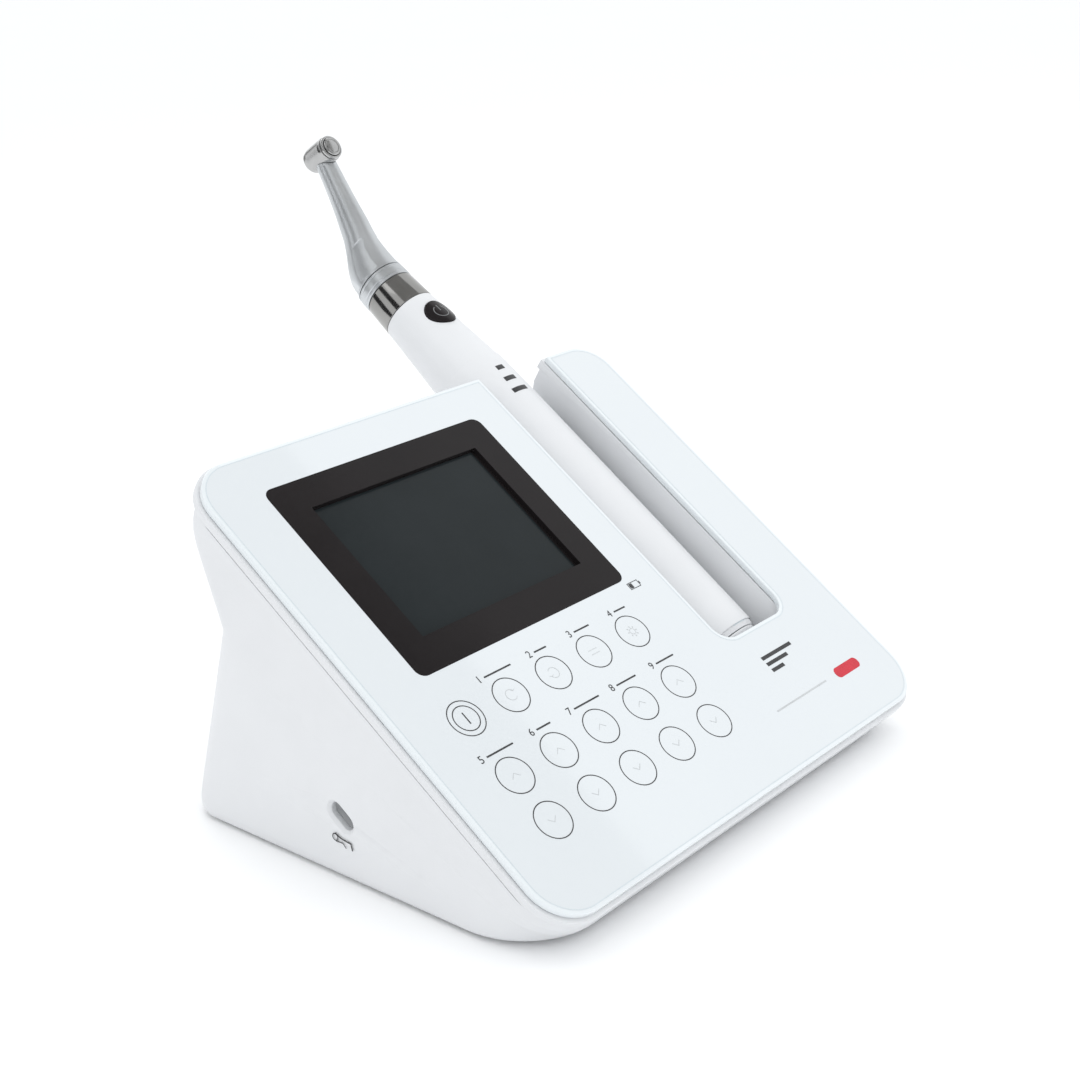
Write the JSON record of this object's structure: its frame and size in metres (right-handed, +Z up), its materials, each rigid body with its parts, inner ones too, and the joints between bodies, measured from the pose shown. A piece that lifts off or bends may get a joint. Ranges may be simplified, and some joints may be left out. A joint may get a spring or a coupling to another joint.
{
  "type": "endodontic motor",
  "caption": "Wedge-shaped desk console with a tilted touch panel and display, and a cordless contra-angle handpiece that lifts out of an open groove in the panel.",
  "frame": {"origin": "centre of the bounding box's bottom, at rest with the handpiece in its groove", "axes": "+X to the user's right, +Y to the back, +Z up; the panel rises towards +Y"},
  "size_m": [0.174, 0.2164, 0.1743],
  "materials": {
    "white_shell": "satin",
    "panel_glass": "polished",
    "black_gloss": "gloss",
    "display": "gloss",
    "rubber_grey": "matte",
    "dark_plastic": "matte",
    "steel": "satin",
    "satin_metal": "satin",
    "polished_metal": "polished",
    "brass": "satin",
    "circuit_board": "satin",
    "battery_wrap": "satin"
  },
  "bodies": {
    "console": {"lower_housing": "white_shell", "upper_frame": "white_shell", "glass_panel": "panel_glass", "display_surround": "black_gloss", "display_cell": "display", "display_tray": "steel", "touch_board": "circuit_board", "base_plate": "white_shell", "foot_front_left": "rubber_grey", "foot_front_right": "rubber_grey", "foot_rear_left": "rubber_grey", "foot_rear_right": "rubber_grey", "base_screw_front_left": "steel", "base_screw_front_right": "steel", "base_screw_rear_left": "steel", "base_screw_rear_right": "steel", "speaker": "dark_plastic", "console_battery": "battery_wrap", "main_board": "circuit_board", "sensor_socket": "dark_plastic", "power_inlet": "dark_plastic", "cradle_pad_front": "rubber_grey", "cradle_pad_rear": "rubber_grey", "charge_pin_left": "brass", "charge_pin_right": "brass"},
    "handpiece": {"handpiece_shell": "white_shell", "tail_cap": "white_shell", "nose_collar": "polished_metal", "motor_can": "steel", "motor_end_bell": "dark_plastic", "nose_bearing": "steel", "handpiece_battery": "battery_wrap", "handpiece_board": "circuit_board", "button_switch": "dark_plastic"},
    "power_button": {"power_button": "black_gloss"},
    "rotor": {"motor_rotor": "steel"},
    "contra_angle": {"coupling_ring": "satin_metal", "neck_sheath": "satin_metal", "head_shell": "polished_metal", "cap_ring": "satin_metal", "rear_bearing": "steel", "neck_bearing_rear": "brass", "neck_bearing_front": "brass", "chuck_bearing_lower": "steel", "chuck_bearing_upper": "steel", "cap_spring": "steel"},
    "rear_shaft": {"rear_shaft": "steel"},
    "front_shaft": {"front_shaft": "steel"},
    "chuck": {"chuck_spindle": "steel"},
    "push_cap": {"push_cap": "satin_metal"}
  },
  "joints": [
    {"name": "handpiece_lift", "type": "slide", "parent": "console", "child": "handpiece", "axis": [0, -0.5835, 0.8121], "range_m": [0, 0.06]},
    {"name": "power_button_press", "type": "slide", "parent": "handpiece", "child": "power_button", "axis": [0, 0.5835, -0.8121], "range_m": [0, 0.0006], "stiffness_N_per_m": 600},
    {"name": "motor_spin", "type": "hinge", "parent": "handpiece", "child": "rotor", "pos_m": [0.0474, 0.04273, 0.10172], "axis": [0, 0.8121, 0.5835], "continuous": true},
    {"name": "contra_angle_turn", "type": "hinge", "parent": "handpiece", "child": "contra_angle", "pos_m": [0.0474, 0.07115, 0.12214], "axis": [0, 0.8121, 0.5835], "continuous": true},
    {"name": "rear_shaft_spin", "type": "hinge", "parent": "contra_angle", "child": "rear_shaft", "pos_m": [0.0474, 0.07359, 0.12389], "axis": [0, 0.8121, 0.5835], "continuous": true},
    {"name": "front_shaft_spin", "type": "hinge", "parent": "contra_angle", "child": "front_shaft", "pos_m": [0.0474, 0.07732, 0.12657], "axis": [0, 0.5045, 0.8634], "continuous": true},
    {"name": "chuck_spin", "type": "hinge", "parent": "contra_angle", "child": "chuck", "pos_m": [0.0474, 0.10139, 0.16776], "axis": [0, -0.8634, 0.5045], "continuous": true},
    {"name": "push_cap_press", "type": "slide", "parent": "contra_angle", "child": "push_cap", "axis": [0, 0.8634, -0.5045], "range_m": [0, 0.0005], "stiffness_N_per_m": 800}
  ],
  "couplings": [
    {"joint": "rear_shaft_spin", "follows": "motor_spin", "ratio": 1},
    {"joint": "front_shaft_spin", "follows": "motor_spin", "ratio": 1},
    {"joint": "chuck_spin", "follows": "motor_spin", "ratio": 0.57143}
  ]
}
